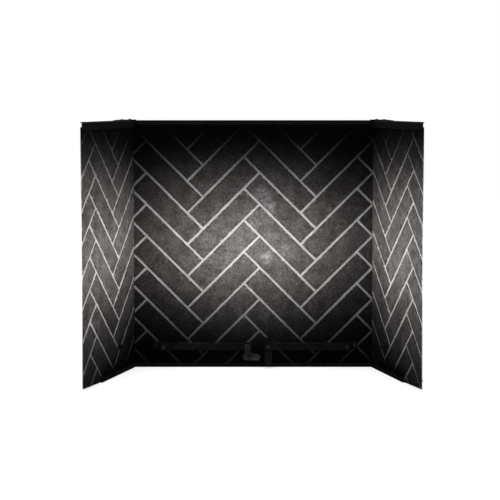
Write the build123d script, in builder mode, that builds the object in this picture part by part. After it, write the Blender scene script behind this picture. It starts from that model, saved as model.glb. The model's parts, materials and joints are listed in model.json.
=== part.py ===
from build123d import *
import math
import os

os.makedirs("parts", exist_ok=True)

# Three herringbone brick panels line a firebox: one across the back and one
# down each side, splayed open towards the front. Millimetres, +Z up. X runs
# across the opening, +Y into the firebox. The origin is on the floor, midway
# between the two inside corners, in the plane of the back panel's brick faces.

# Panels
back_width = 671.0
back_tuck = 25.0
back_height = 697.0
side_width = 349.0
splay = 17.3
toe_length = 102.0
toe_rise = 3.0
nose = 4.5
nose_bevel = 22.0

# Build-up of a panel, from its brick face backwards
brick_thickness = 14.0
joint_recess = 2.5
mortar_bed = 2.0
board_thickness = 18.0
arris = 2.0
smallest_cut = 1290.0
least_bite = 12.0

# Herringbone bond. Each start is where the joints cross under a rising slip,
# measured along the panel from its own reference and up from the floor.
joint_width = 6.4
back_slip = (219.6, 57.2)
side_slip = (208.4, 54.0)
back_start = (-141.4, 34.5)
left_start = (-108.2, 65.5)
right_start = (137.5, 81.8)

# Folded steel frame
steel = 2.0
fold = 3.0
panel_gap = 1.0
ledge_lip = 11.0
ledge_flange = 40.0
ledge_foot = 26.0
ledge_length = 232.0
board_arris = 2.0
retainer_lip = 12.0
retainer_flange = 40.0
channel_lip = 20.0
lip_end_gap = 5.0
lift = 10.0
lift_gap = 1.0

# Corner posts and plates
post_ear = 34.0
post_setback = 2.0
post_gap = 0.5
post_screw_heights = (150.0, 350.0, 550.0)
plate_reach = 60.0
plate_back = 26.0
plate_margin = 12.0
foot_plate_start = 10.0

# Fixing holes left open for the firebox
fixing_hole = 6.6
wall_fixing_low = 60.0
wall_fixing_from_top = 59.0
floor_fixing_rear = 90.0
floor_fixing_front = 205.0

# Screws, rivets, bolts and nuts
screw_shank = 5.0
screw_head = 10.0
screw_head_height = 3.5
board_bite = 12.0
brick_bite = 24.0
rivet_shank = 4.0
rivet_head = 8.0
rivet_head_height = 2.0
bolt_shank = 6.0
bolt_flats = 10.0
bolt_head_height = 4.0
nut_height = 5.0
hole_fit = 0.2
board_screw_spots = (-270.0, -90.0, 90.0, 270.0)

# Rear rail in front of the foot of the back panel
rail_bottom = 53.0
rail_height = 21.0
rail_front = 31.0
rail_return = 9.0
rail_end_gap = 1.0
rail_left_end = -263.0
rail_right_end = 275.0
rail_break_left = -6.0
rail_break_right = 33.0
rail_spare_hole_from_post = 31.0
bracket_width = 20.0
bracket_screw_inset = 8.0
middle_bracket_height = 15.0
post_width = 20.0
post_height = 90.0
keeper_length = 48.0
keeper_height = 18.0
keeper_gap = 9.5
keeper_offset = 11.0
keeper_tab = 14.0

# Lifting studs in the side panels
stud_from_corner = 112.0
stud_height = 77.0
stud_diameter = 11.0
stud_reach = 20.0
stud_root = 12.0
stud_collar = 18.0
stud_collar_height = 3.0

# Sizes that follow
corner = back_width / 2
panel_depth = brick_thickness + board_thickness
slip_thickness = brick_thickness - mortar_bed
foot = steel
side_height = back_height - lift - lift_gap
back_top = foot + back_height
side_top = foot + side_height
frame_top = back_top + steel
lip_line = panel_gap + steel
lip_half = corner - lip_end_gap
rear_face = panel_depth + steel
back_edge = corner + back_tuck
post_face = back_edge + post_gap
post_edge = post_face + post_ear
rail_top = rail_bottom + rail_height
rail_middle = rail_bottom + rail_height / 2
wrap_front = rail_front + steel
post_foot = ledge_lip - 2 * steel
keeper_middle = rail_bottom - keeper_gap - keeper_height / 2
keeper_top = rail_middle + keeper_tab / 2
sine = math.sin(math.radians(splay))
cosine = math.cos(math.radians(splay))

# Each panel has a plane on its brick face: X to the right as seen from the
# front of the firebox, Y up, Z out towards the fire.
back_plane = Plane(origin=(0, 0, 0), x_dir=(1, 0, 0), z_dir=(0, -1, 0))
left_plane = Plane(origin=(-corner, 0, 0), x_dir=(sine, cosine, 0), z_dir=(cosine, -sine, 0))
right_plane = Plane(origin=(corner, 0, 0), x_dir=(sine, -cosine, 0), z_dir=(-cosine, -sine, 0))
side_panels = {"left": (left_plane, -1, left_start), "right": (right_plane, 1, right_start)}


def save(part, name):
    """Label a finished piece and write it under its own name."""
    part.label = name
    export_step(part, f"parts/{name}.step")
    print(name, len(part.solids()), "solid(s)", round(part.volume / 1000), "cm3")


def section_plane(plane, along):
    """The plane across a panel: X is depth behind the brick face and Y is up."""
    section = Plane(origin=plane.origin, x_dir=-plane.z_dir, z_dir=plane.x_dir)
    return section.offset(along)


def side_point(sign, along, depth):
    """The place on the floor at a distance from the inside corner and a depth behind the bricks."""
    return (sign * (corner + along * sine + depth * cosine), depth * sine - along * cosine)


def front_bevel(sign, bed=0.0):
    """What is cut off behind the front edge of a side panel, so that it slides in behind a flange.

    With a bed, the cut lies that much nearer the face and leaves mortar behind the slips.
    """
    run = 2 * panel_depth
    tip = nose - bed
    drop = run / math.tan(math.radians(nose_bevel))
    with BuildPart() as wedge:
        with BuildSketch(Plane.XY):
            with BuildLine():
                Polyline(
                    side_point(sign, side_width, tip),
                    side_point(sign, side_width - drop, tip + run),
                    side_point(sign, side_width + drop, tip + run),
                    side_point(sign, side_width + drop, tip),
                    close=True,
                )
            make_face()
        extrude(amount=frame_top + steel)
    return wedge.part


def panel_layer(plane, sign, near, far, bed=0.0):
    """One layer of a panel between two depths. Sign is 0 for the back, -1 left and 1 right."""
    with BuildPart() as layer:
        with BuildSketch(plane.offset(-far)):
            if sign == 0:
                with Locations((0, foot + back_height / 2)):
                    Rectangle(2 * back_edge, back_height)
            else:
                heel = -sign * panel_depth
                toe = sign * (side_width - toe_length)
                front = sign * side_width
                with BuildLine():
                    Polyline(
                        (heel, foot),
                        (toe, foot),
                        (front, foot + toe_rise),
                        (front, side_top),
                        (heel, side_top),
                        close=True,
                    )
                make_face()
        extrude(amount=far - near)
        if sign != 0:
            split(bisect_by=Plane.XZ, keep=Keep.TOP)
            add(front_bevel(sign, bed), mode=Mode.SUBTRACT)
    return layer.part


def slip_columns(plane, face_layer, slip, start, low, high, top):
    """Brick slips laid at 45 degrees on a bed of mortar, one part for each upright column of slips."""
    length, width = slip
    column_step = (length + joint_width) / math.sqrt(2)
    row_step = (width + joint_width) * math.sqrt(2)
    reach = (length + width) / math.sqrt(8)
    first_x = start[0] + (length - width) / math.sqrt(8)
    first_z = start[1] + (length + width + 2 * joint_width) / math.sqrt(8)
    columns = []
    inner_reach = reach - least_bite
    for column in range(math.ceil((low - inner_reach - first_x) / column_step),
                        math.floor((high + inner_reach - first_x) / column_step) + 1):
        leaning = column % 2
        x = first_x + column * column_step
        z = first_z + leaning * row_step / 2
        rows = range(math.ceil((foot - reach - z) / row_step),
                     math.floor((top + reach - z) / row_step) + 1)
        turn = -45 if leaning else 45
        with BuildPart() as slips:
            with BuildSketch(plane.offset(-slip_thickness)):
                with Locations(*[Location((x, z + row * row_step, 0), (0, 0, turn)) for row in rows]):
                    Rectangle(length, width)
            extrude(amount=slip_thickness)
            faces = slips.faces().group_by(Axis(plane.origin, plane.z_dir))[-1]
            chamfer(faces.edges(), arris)
            add(face_layer, mode=Mode.INTERSECT)
            for scrap in slips.solids().filter_by(lambda solid: solid.volume < smallest_cut):
                add(scrap, mode=Mode.SUBTRACT)
        columns.append(slips.part)
    return columns


def pin(plane, diameter, depth):
    """A round pin sunk from a seat plane, used for holes as well as shanks."""
    with BuildPart() as one:
        with BuildSketch(plane):
            Circle(diameter / 2)
        extrude(amount=-depth)
    return one.part


def headed_pin(plane, head, head_height, shank, bite):
    """A domed head on its seat plane with a shank below it."""
    with BuildPart() as one:
        with BuildSketch(plane):
            Circle(head / 2)
        extrude(amount=head_height)
        fillet(one.edges().group_by(Axis(plane.origin, plane.z_dir))[-1], head_height * 0.6)
        add(pin(plane, shank, bite))
    return one.part


def hex_piece(plane, height, shank, bite):
    """A hexagon bolt with its shank, or a nut where the bite is zero."""
    with BuildPart() as one:
        with BuildSketch(plane):
            RegularPolygon(bolt_flats / 2, 6, major_radius=False)
        extrude(amount=height)
        if bite:
            add(pin(plane, shank, bite))
        else:
            add(pin(plane.offset(height), shank + 2 * hole_fit, height), mode=Mode.SUBTRACT)
    return one.part


def drilled(part, holes):
    """A part with holes taken out of it."""
    with BuildPart() as finished:
        add(part)
        for hole in holes:
            add(hole, mode=Mode.SUBTRACT)
    return finished.part


def folded(section, points, side, length):
    """Folded sheet steel: one face as a line in section, the metal to one side of it."""
    with BuildPart() as sheet:
        with BuildSketch(section):
            with BuildLine():
                FilletPolyline(*points, radius=fold)
                offset(amount=steel, side=side)
            make_face()
        extrude(amount=length)
    return sheet.part


def cut_at_back(part):
    """A side piece trimmed where it meets the plane of the back panel's brick faces."""
    with BuildPart() as trimmed:
        add(part)
        split(bisect_by=Plane.XZ, keep=Keep.TOP)
    return trimmed.part


def seat(x, y, z, facing):
    """A seat for a fastener whose head faces the given way."""
    return Plane(origin=(x, y, z), z_dir=facing)


# Where the fasteners sit, so that each hole and its fastener agree
ledge_screw_height = foot + ledge_flange / 2
retainer_screw_height = frame_top - retainer_flange / 2
board_seats = [seat(x, rear_face, z, (0, 1, 0))
               for x in board_screw_spots
               for z in (ledge_screw_height, retainer_screw_height)]
post_seats = {
    sign: [seat(sign * (post_face + steel), brick_thickness + board_thickness / 2, z, (sign, 0, 0))
           for z in post_screw_heights]
    for sign in (-1, 1)
}

bracket_ends = {
    "left_end_bracket": (rail_left_end, -1, wrap_front, rail_height),
    "middle_bracket": (rail_break_left - bracket_width, -1, rail_front - steel, middle_bracket_height),
    "right_end_bracket": (rail_right_end, 1, wrap_front, rail_height),
}
bracket_seats = [
    seat(end + sign * (bracket_width - bracket_screw_inset), -steel, rail_middle, (0, -1, 0))
    for end, sign, front, height in bracket_ends.values()
]

screw_hole_size = screw_shank + 2 * hole_fit
board_holes = [pin(place, screw_hole_size, board_bite) for place in board_seats]
post_holes = [pin(place, screw_hole_size, board_bite) for sign in (-1, 1) for place in post_seats[sign]]
bracket_holes = [pin(place, screw_hole_size, brick_bite) for place in bracket_seats]

# Back panel
back_columns = slip_columns(back_plane, panel_layer(back_plane, 0, 0, slip_thickness),
                            back_slip, back_start, -back_edge, back_edge, back_top)
for number, column in enumerate(back_columns, 1):
    save(drilled(column, bracket_holes), f"back_brick_column_{number}")

back_joints = panel_layer(back_plane, 0, joint_recess, brick_thickness)
save(drilled(back_joints, back_columns + bracket_holes), "back_mortar")

with BuildPart() as back_board:
    add(panel_layer(back_plane, 0, brick_thickness, panel_depth))
    chamfer(back_board.faces().sort_by(Axis.Y)[-1].edges(), board_arris)
    for hole in board_holes + post_holes + bracket_holes:
        add(hole, mode=Mode.SUBTRACT)
save(back_board.part, "back_board")

# Side panels, each with the stud that it is lifted by
for side, (plane, sign, start) in side_panels.items():
    face_point = plane.from_local_coords(Vector(sign * stud_from_corner, stud_height, 0))
    stud_seat = Plane(origin=face_point, x_dir=plane.x_dir, z_dir=plane.z_dir)
    stud_hole = pin(stud_seat, stud_diameter + 2 * hole_fit, stud_root)

    low, high = sorted((0, sign * side_width))
    columns = slip_columns(plane, panel_layer(plane, sign, 0, slip_thickness, mortar_bed),
                           side_slip, start, low, high, side_top)
    for number, column in enumerate(columns, 1):
        save(drilled(column, [stud_hole]), f"{side}_brick_column_{number}")

    joints = panel_layer(plane, sign, joint_recess, brick_thickness)
    save(drilled(joints, columns + [stud_hole]), f"{side}_mortar")

    with BuildPart() as board:
        add(panel_layer(plane, sign, brick_thickness, panel_depth))
        rear = board.faces().sort_by(Axis(plane.origin, plane.z_dir))[0]
        chamfer(rear.edges().filter_by(Plane.XY), board_arris)
    save(board.part, f"{side}_board")

    with BuildPart() as stud:
        add(pin(stud_seat.offset(stud_reach), stud_diameter, stud_reach + stud_root))
        chamfer(stud.edges().group_by(Axis(stud_seat.origin, stud_seat.z_dir))[-1], 1)
        add(pin(stud_seat.offset(stud_collar_height), stud_collar, stud_collar_height))
    save(stud.part, f"{side}_lifting_stud")

# Rivets through the corner plates
top_rivet_seats = []
foot_rivet_seats = []
for sign in (-1, 1):
    side_x, side_y = side_point(sign, plate_reach - plate_margin, panel_depth / 2)
    plate_top = frame_top + steel
    top_rivet_seats.append(seat(sign * (back_edge - plate_margin), panel_depth / 2, plate_top, (0, 0, 1)))
    top_rivet_seats.append(seat(side_x, side_y, plate_top, (0, 0, 1)))
    flange_middle = panel_depth + (panel_gap + ledge_foot) / 2
    side_x, side_y = side_point(sign, plate_reach - plate_margin, flange_middle)
    foot_rivet_seats.append(seat(sign * (post_edge - plate_margin), panel_depth / 2, 2 * steel, (0, 0, 1)))
    foot_rivet_seats.append(seat(side_x, side_y, 2 * steel, (0, 0, 1)))
rivet_hole_size = rivet_shank + 2 * hole_fit
top_rivet_holes = [pin(place, rivet_hole_size, 2 * steel) for place in top_rivet_seats]
foot_rivet_holes = [pin(place, rivet_hole_size, 2 * steel) for place in foot_rivet_seats]

# Ledge under the back panel and retainer over it. Their front lips stop short
# of the side panels and their rear flanges stop at the corner posts.
ledge_line = [(-lip_line, ledge_lip), (-lip_line, 0), (rear_face, 0), (rear_face, ledge_flange)]
retainer_line = [(rear_face, frame_top - retainer_flange), (rear_face, frame_top),
                 (-lip_line, frame_top), (-lip_line, frame_top - retainer_lip)]
back_angles = {
    "back_ledge": (ledge_line, foot, 1, foot_rivet_holes),
    "back_retainer": (retainer_line, back_top, -1, top_rivet_holes),
}
for name, (line, web, flange_way, rivet_holes) in back_angles.items():
    with BuildPart() as angle:
        add(folded(section_plane(back_plane, -post_edge), line, Side.LEFT, 2 * post_edge))
        for sign in (-1, 1):
            with BuildSketch(Plane.XY):
                with Locations((sign * (lip_half + post_edge) / 2, -lip_line / 2)):
                    Rectangle(post_edge - lip_half, lip_line)
            extrude(amount=frame_top, mode=Mode.SUBTRACT)
            with BuildSketch(Plane.XY.offset(web)):
                with Locations((sign * (back_edge + post_edge) / 2, rear_face - steel)):
                    Rectangle(post_edge - back_edge, 2 * steel)
            extrude(amount=flange_way * ledge_flange, mode=Mode.SUBTRACT)
        for hole in board_holes + rivet_holes:
            add(hole, mode=Mode.SUBTRACT)
    save(angle.part, name)

# Ledges under the side panels and channels over them
floor_fixing_depth = panel_depth + panel_gap + ledge_foot / 2
side_ledge_line = [(-lip_line, ledge_lip), (-lip_line, 0), (panel_depth + panel_gap + ledge_foot, 0)]
channel_line = [
    (panel_depth + lip_line, frame_top - channel_lip),
    (panel_depth + lip_line, frame_top),
    (-lip_line, frame_top),
    (-lip_line, frame_top - channel_lip),
]
for side, (plane, sign, start) in side_panels.items():
    reach = {True: -1, False: 0}[sign < 0]
    ledge_start = section_plane(plane, reach * ledge_length - (1 + reach) * lip_line)
    ledge = cut_at_back(folded(ledge_start, side_ledge_line, Side.LEFT, ledge_length + lip_line))
    floor_holes = []
    for along in (floor_fixing_rear, floor_fixing_front):
        x, y = side_point(sign, along, floor_fixing_depth)
        floor_holes.append(pin(seat(x, y, foot, (0, 0, 1)), fixing_hole, foot))
    save(drilled(ledge, floor_holes + foot_rivet_holes), f"{side}_ledge")

    channel_start = section_plane(plane, reach * side_width - (1 + reach) * lip_line)
    channel = cut_at_back(folded(channel_start, channel_line, Side.LEFT, side_width + lip_line))
    save(drilled(channel, top_rivet_holes + [front_bevel(sign)]), f"{side}_retainer")

# Corner posts behind the ends of the back panel
for side, (plane, sign, start) in side_panels.items():
    with BuildPart() as post:
        line = [
            (sign * post_edge, rear_face),
            (sign * post_face, rear_face),
            (sign * post_face, post_setback),
        ]
        add(folded(Plane.XY.offset(foot), line, {1: Side.LEFT, -1: Side.RIGHT}[sign], back_height))
        for height in (wall_fixing_low, back_top - wall_fixing_from_top):
            place = seat(sign * (post_edge - post_ear / 2), rear_face, height, (0, 1, 0))
            add(pin(place, fixing_hole, steel), mode=Mode.SUBTRACT)
        for hole in post_holes:
            add(hole, mode=Mode.SUBTRACT)
    save(post.part, f"{side}_corner_post")

# Corner plates that tie the frame together, riveted on at the top and the foot
for side, (plane, sign, start) in side_panels.items():
    top_outline = [
        (sign * lip_half, plate_back),
        (sign * (back_edge + plate_margin), plate_back),
        side_point(sign, plate_reach, panel_depth),
        side_point(sign, plate_reach, 0),
        (sign * lip_half, 0),
    ]
    foot_corner = side_point(sign, foot_plate_start, panel_depth + panel_gap)
    foot_outline = [
        (foot_corner[0], plate_back),
        (sign * (post_edge - panel_gap), plate_back),
        side_point(sign, plate_reach, panel_depth + ledge_foot),
        side_point(sign, plate_reach, panel_depth + panel_gap),
        foot_corner,
    ]
    for name, outline, level, holes in (
        ("top", top_outline, frame_top, top_rivet_holes),
        ("foot", foot_outline, foot, foot_rivet_holes),
    ):
        with BuildPart() as plate:
            with BuildSketch(Plane.XY.offset(level)):
                with BuildLine():
                    Polyline(*outline, close=True)
                make_face()
            extrude(amount=steel)
            for hole in holes:
                add(hole, mode=Mode.SUBTRACT)
        save(plate.part, f"{side}_{name}_corner_plate")

# Rear rail in two halves, broken beside the centre post
post_centre = rail_break_right + post_width / 2
keeper_bolt_x = rail_break_left - bracket_width / 2
bolt_places = [
    (rail_left_end + bracket_width / 2, wrap_front, rail_front - steel),
    (keeper_bolt_x, wrap_front, rail_front - 2 * steel),
    (post_centre, wrap_front, rail_front - steel),
    (rail_right_end - bracket_width / 2, wrap_front, rail_front - steel),
]
bolt_seats = [seat(x, -front, rail_middle, (0, -1, 0)) for x, front, back in bolt_places]
bolt_holes = [pin(place, bolt_shank + 2 * hole_fit, wrap_front) for place in bolt_seats]
spare_hole = pin(seat(post_centre + rail_spare_hole_from_post, -rail_front, rail_middle, (0, -1, 0)),
                 bolt_shank, steel)

rail_line = [
    (-rail_front + rail_return, rail_top),
    (-rail_front, rail_top),
    (-rail_front, rail_bottom),
    (-rail_front + rail_return, rail_bottom),
]
rail_spans = {
    "left_rail": (rail_left_end + steel + rail_end_gap, rail_break_left),
    "right_rail": (rail_break_right, rail_right_end - steel - rail_end_gap),
}
for name, (start, end) in rail_spans.items():
    rail = folded(section_plane(back_plane, start), rail_line, Side.LEFT, end - start)
    save(drilled(rail, bolt_holes + [spare_hole]), name)

for (name, (end, sign, front, height)) in bracket_ends.items():
    line = [
        (end - sign * bracket_width, -front),
        (end, -front),
        (end, -steel),
        (end + sign * bracket_width, -steel),
    ]
    level = Plane.XY.offset(rail_middle - height / 2)
    bracket = folded(level, line, {1: Side.LEFT, -1: Side.RIGHT}[sign], height)
    save(drilled(bracket, bolt_holes + bracket_holes), name)

post_line = [(-wrap_front, post_height), (-wrap_front, post_foot), (-lip_line, post_foot)]
post = folded(section_plane(back_plane, rail_break_right), post_line, Side.LEFT, post_width)
save(drilled(post, bolt_holes), "centre_post")

# Polished keeper, an oval tongue hung under the end of the left rail
with BuildPart() as keeper:
    with BuildSketch(back_plane.offset(rail_front)):
        with Locations((keeper_bolt_x + keeper_offset, keeper_middle)):
            SlotOverall(keeper_length, keeper_height)
        with Locations((keeper_bolt_x, (keeper_top + keeper_middle) / 2)):
            Rectangle(keeper_tab, keeper_top - keeper_middle)
    extrude(amount=steel)
    for hole in bolt_holes:
        add(hole, mode=Mode.SUBTRACT)
save(keeper.part, "keeper")

# Fasteners, like ones together
bolts = [hex_piece(place, bolt_head_height, bolt_shank, front - back + nut_height)
         for place, (x, front, back) in zip(bolt_seats, bolt_places)]
nuts = [hex_piece(seat(x, -back, rail_middle, (0, 1, 0)), nut_height, bolt_shank, 0)
        for x, front, back in bolt_places]
save(Compound(children=bolts), "rail_bolts")
save(Compound(children=nuts), "rail_nuts")
screw_sets = {
    "board_screws": (board_seats, board_bite),
    "left_post_screws": (post_seats[-1], board_bite),
    "right_post_screws": (post_seats[1], board_bite),
    "bracket_screws": (bracket_seats, brick_bite),
}
for name, (seats, bite) in screw_sets.items():
    screws = [headed_pin(place, screw_head, screw_head_height, screw_shank, bite) for place in seats]
    save(Compound(children=screws), name)
for name, seats in (("top_rivets", top_rivet_seats), ("foot_rivets", foot_rivet_seats)):
    rivets = [headed_pin(place, rivet_head, rivet_head_height, rivet_shank, 2 * steel) for place in seats]
    save(Compound(children=rivets), name)
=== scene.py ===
# %% [markdown]
# A firebox lining is three panels that stand inside a fireplace: one across the
# back and one down each side. Each panel is thin fired slips, laid in a
# herringbone and pointed with pale mortar, on a stiff board. Folded steel holds
# them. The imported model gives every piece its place, so this script never moves
# anything: it makes the surfaces that a construction model leaves plain.

import json
import math

import bmesh
import bpy
import numpy as np
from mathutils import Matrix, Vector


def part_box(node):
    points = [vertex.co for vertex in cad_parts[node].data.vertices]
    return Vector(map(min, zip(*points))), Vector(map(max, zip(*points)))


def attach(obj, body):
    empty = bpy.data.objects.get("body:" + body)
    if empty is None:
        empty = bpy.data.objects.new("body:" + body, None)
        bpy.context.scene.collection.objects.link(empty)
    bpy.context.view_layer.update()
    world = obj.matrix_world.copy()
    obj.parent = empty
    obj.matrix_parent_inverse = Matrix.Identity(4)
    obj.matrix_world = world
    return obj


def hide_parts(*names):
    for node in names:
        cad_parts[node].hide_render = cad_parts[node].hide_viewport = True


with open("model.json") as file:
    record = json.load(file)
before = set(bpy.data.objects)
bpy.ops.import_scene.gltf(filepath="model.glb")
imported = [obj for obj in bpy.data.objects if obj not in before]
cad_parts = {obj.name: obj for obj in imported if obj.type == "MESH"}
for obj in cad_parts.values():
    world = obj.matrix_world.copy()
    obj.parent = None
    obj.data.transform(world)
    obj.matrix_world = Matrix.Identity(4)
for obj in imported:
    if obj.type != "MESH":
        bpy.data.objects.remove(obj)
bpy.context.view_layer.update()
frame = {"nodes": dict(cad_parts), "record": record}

# %% [markdown]
# The photograph is taken from a little above the middle of the lining, tilted
# down a few degrees, with a long lens. Turning the camera further would set the
# lining in the middle of the frame, but it would tip the uprights as well. So
# the lens is shifted instead, which slides the picture and leaves its lines.

# %% Camera
camera_place = (0.0295, -3.962, 0.7653)
camera_tilt = math.radians(3.765)
camera_lens = 101.3
camera_shift = (-0.0273, -0.120)

camera_data = bpy.data.cameras.new("camera")
camera_data.lens = camera_lens
camera_data.sensor_width = 36.0
camera_data.shift_x, camera_data.shift_y = camera_shift
camera = bpy.data.objects.new("camera", camera_data)
camera.location = camera_place
camera.rotation_euler = (math.pi / 2 - camera_tilt, 0, 0)
bpy.context.scene.collection.objects.link(camera)
bpy.context.scene.camera = camera
print("camera at", camera_place, "with a lens of", camera_lens, "mm")

# %% [markdown]
# The sizes below are those of the real lining, in metres. What the frame can
# say, such as how high a panel is, is read from the frame. Only the bond of the
# slips is written here, because it is the one thing that this script draws anew.

# %% Sizes of the panels and their bond
back_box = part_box("back_mortar")
back_edge = back_box[1].x
foot, back_top = back_box[0].z, back_box[1].z
bed_depth = back_box[1].y
slip_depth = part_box("back_brick_column_2")[1].y
side_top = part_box("left_mortar")[1].z
corner = 0.3355
side_width = 0.349
splay = math.radians(17.3)
toe_length, toe_rise = 0.102, 0.003
nose, nose_slope = 0.0045, math.tan(math.radians(22.0))

joint_width = 0.0064
least_bite = 0.012
smallest_cut = 1290e-9
back_slip, back_start = (0.2196, 0.0572), (-0.1414, 0.0345)
side_slip = (0.2084, 0.0540)
left_start, right_start = (-0.1082, 0.0655), (0.1375, 0.0818)
print("panels reach", round(back_top, 4), "m at the back and", round(side_top, 4), "m at the sides")


# %% [markdown]
# The panels could be modelled where they stand, but a herringbone is laid most
# easily on a flat board. So each panel is drawn flat, as distance along it,
# height, and depth behind its brick face, and then stood up. A side panel is
# turned by its splay, and its edge beside the back panel is cut to the back
# panel's plane, so a point that would pass that plane stops there.

# %% Standing a flat panel up
def stand_back(along, up, depth):
    """The back panel: X is the distance along it, Y the depth and Z the height."""
    return np.stack([along, depth, up], axis=-1)


def stand_side(sign):
    """A side panel: out by run times sine plus depth times cosine, forward by run times cosine."""
    def stand(along, up, depth):
        run = np.maximum(sign * along, np.maximum(depth, 0) * math.tan(splay))
        x = sign * (corner + run * math.sin(splay) + depth * math.cos(splay))
        y = depth * math.sin(splay) - run * math.cos(splay)
        return np.stack([x, y, up], axis=-1)
    return stand


outer_corner = stand_side(1)(np.array(side_width), np.array(foot), np.array(0.0))
print("the right panel's front corner stands at", outer_corner.round(4))


# %% [markdown]
# Three things tell the panels apart once they lie flat: how deep their layers
# go, where their lower edge runs, and which straight lines bound them. The front
# edge of a side panel is bevelled behind, and its foot rises a little at the
# toe. Each is a small function of the distance along the panel.

# %% Depth, foot and edges of each panel
back_recess, side_recess = 0.0024, 0.0019


def even_depth(along, full):
    """A layer of the back panel is equally deep all over."""
    return np.full_like(along, full)


def side_depth(sign):
    """How deep a layer of a side panel goes: its full depth, less behind the bevelled front edge."""
    def depth(along, full):
        tip = nose - (bed_depth - full)
        return np.minimum(full, tip + (side_width - sign * along) * nose_slope)
    return depth


def level_foot(along):
    """The lower edge of the back panel is level."""
    return np.full_like(along, foot)


def side_foot(along):
    """The lower edge of a side panel: level, then rising to the toe at the front."""
    toe = side_width - toe_length
    return foot + toe_rise * np.clip((np.abs(along) - toe) / toe_length, 0, 1)


def side_edges(sign):
    """The half planes that bound a side panel, each a direction and a limit."""
    lean = math.hypot(toe_rise, toe_length)
    toe = side_width - toe_length
    across, down = toe_rise / lean, -toe_length / lean
    return [
        ((-sign, 0), 0),
        ((sign, 0), side_width),
        ((0, 1), side_top),
        ((0, -1), -foot),
        ((sign * across, down), across * toe + down * foot),
    ]


def side_panel(sign, body, start):
    """All that the bond and the mortar need to know about one side panel."""
    return dict(body=body, stand=stand_side(sign), edges=side_edges(sign), slip=side_slip, start=start,
                low=min(0, sign * side_width), high=max(0, sign * side_width), top=side_top,
                deep=side_depth(sign), foot=side_foot, recess=side_recess)


back_edges = [((1, 0), back_edge), ((-1, 0), back_edge), ((0, 1), back_top), ((0, -1), -foot)]
panels = {
    "back": dict(body="frame", stand=stand_back, edges=back_edges, slip=back_slip, start=back_start,
                 low=-back_edge, high=back_edge, top=back_top,
                 deep=even_depth, foot=level_foot, recess=back_recess),
    "left": side_panel(-1, "left_panel", left_start),
    "right": side_panel(1, "right_panel", right_start),
}
print("panels:", ", ".join(panels))


# %% [markdown]
# Fired clay and mortar are never quite even. A noise texture would show that in
# the render, but not in the mesh. So the larger unevenness is real relief from
# numpy: every corner of a lattice gets a value from its own number, and the
# values are blended across each cell. The same numbers come out on every run,
# so nothing is left to chance.

# %% Smooth noise
axis_mixers = np.array([374761393, 668265263, 2147483647])
seed_mixer, scrambler = 1442695041, 1274126177


def lattice_noise(points, size, seed):
    """Noise from -1 to 1. A cell corner's value is a hash of its number, blended by 3t^2 - 2t^3."""
    cells = points / size
    base = np.floor(cells).astype(np.int64)
    part = cells - base
    part = part * part * (3 - 2 * part)
    total = np.zeros(points.shape[:-1])
    mixers = axis_mixers[: points.shape[-1]]
    for step in np.ndindex(*(2,) * points.shape[-1]):
        key = ((base + step) * mixers).sum(axis=-1) + seed * seed_mixer
        key = (key ^ (key >> 13)) * scrambler & 0xFFFFFFFF
        value = ((key ^ (key >> 16)) & 0xFFFF) / 32767.5 - 1
        weight = np.where(np.array(step) == 1, part, 1 - part).prod(axis=-1)
        total += weight * value
    return total


def peaks(values, level):
    """The part of some values that rises above a level, stretched to run from 0 to 1."""
    return np.clip(values - level, 0, 1) / (1 - level)


sample = lattice_noise(np.random.default_rng(1).uniform(0, 1, (2000, 2)), 0.02, 3)
print("noise runs from", round(sample.min(), 2), "to", round(sample.max(), 2))


# %% [markdown]
# Every slip and every bed of mortar is the same kind of shape: a relief in
# front, flat sides, and a plain back. A finely cut cube could be pushed into
# that shape, but its back would be as dense as its front. Here the relief is a
# grid, a function of two parameters, and the sides join its border to one line
# of points behind each long edge, so few faces are spent where nobody looks.

# %% Closed relief shells
def shell_faces(across, up):
    """Faces of one shell: the front grid, its two long sides, its back, and a cap at each end."""
    grid = np.arange(across * up).reshape(across, up)
    low = across * up + np.arange(across)
    high = low + across
    front = np.stack([grid[:-1, :-1], grid[:-1, 1:], grid[1:, 1:], grid[1:, :-1]], -1).reshape(-1, 4)
    low_side = np.stack([grid[:-1, 0], grid[1:, 0], low[1:], low[:-1]], -1)
    high_side = np.stack([grid[:-1, -1], high[:-1], high[1:], grid[1:, -1]], -1)
    back = np.stack([low[:-1], low[1:], high[1:], high[:-1]], -1)
    first_cap = np.concatenate([grid[0, ::-1], [low[0], high[0]]])[None]
    last_cap = np.concatenate([grid[-1], [high[-1], low[-1]]])[None]
    return [front, low_side, high_side, back, first_cap, last_cap]


def build_piece(name, shells):
    """One object from several shells. A shell is its points and its lists of faces, the relief first."""
    mesh = bpy.data.meshes.new(name)
    offsets = np.cumsum([0] + [len(points) for points, _ in shells])
    points = np.concatenate([points for points, _ in shells])
    faces = [group + offset for offset, (_, groups) in zip(offsets, shells) for group in groups]
    smooth = [np.full(len(group), number == 0)
              for _, groups in shells for number, group in enumerate(groups)]
    totals = np.concatenate([np.full(len(group), group.shape[1]) for group in faces])
    mesh.vertices.add(len(points))
    mesh.vertices.foreach_set("co", points.astype(np.float32).ravel())
    mesh.loops.add(int(totals.sum()))
    mesh.loops.foreach_set("vertex_index", np.concatenate([group.ravel() for group in faces]))
    mesh.polygons.add(len(totals))
    mesh.polygons.foreach_set("loop_start", np.cumsum(totals) - totals)
    mesh.polygons.foreach_set("use_smooth", np.concatenate(smooth))
    mesh.update(calc_edges=True)
    mesh.validate()
    piece = bpy.data.objects.new(name, mesh)
    bpy.context.scene.collection.objects.link(piece)
    return piece


def keep_values(piece, name, values):
    """A value for each point, or three, kept on the mesh for its material to read."""
    kind, key = ("FLOAT", "value") if values.ndim == 1 else ("FLOAT_VECTOR", "vector")
    attribute = piece.data.attributes.new(name, kind, "POINT")
    attribute.data.foreach_set(key, values.astype(np.float32).ravel())


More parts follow.
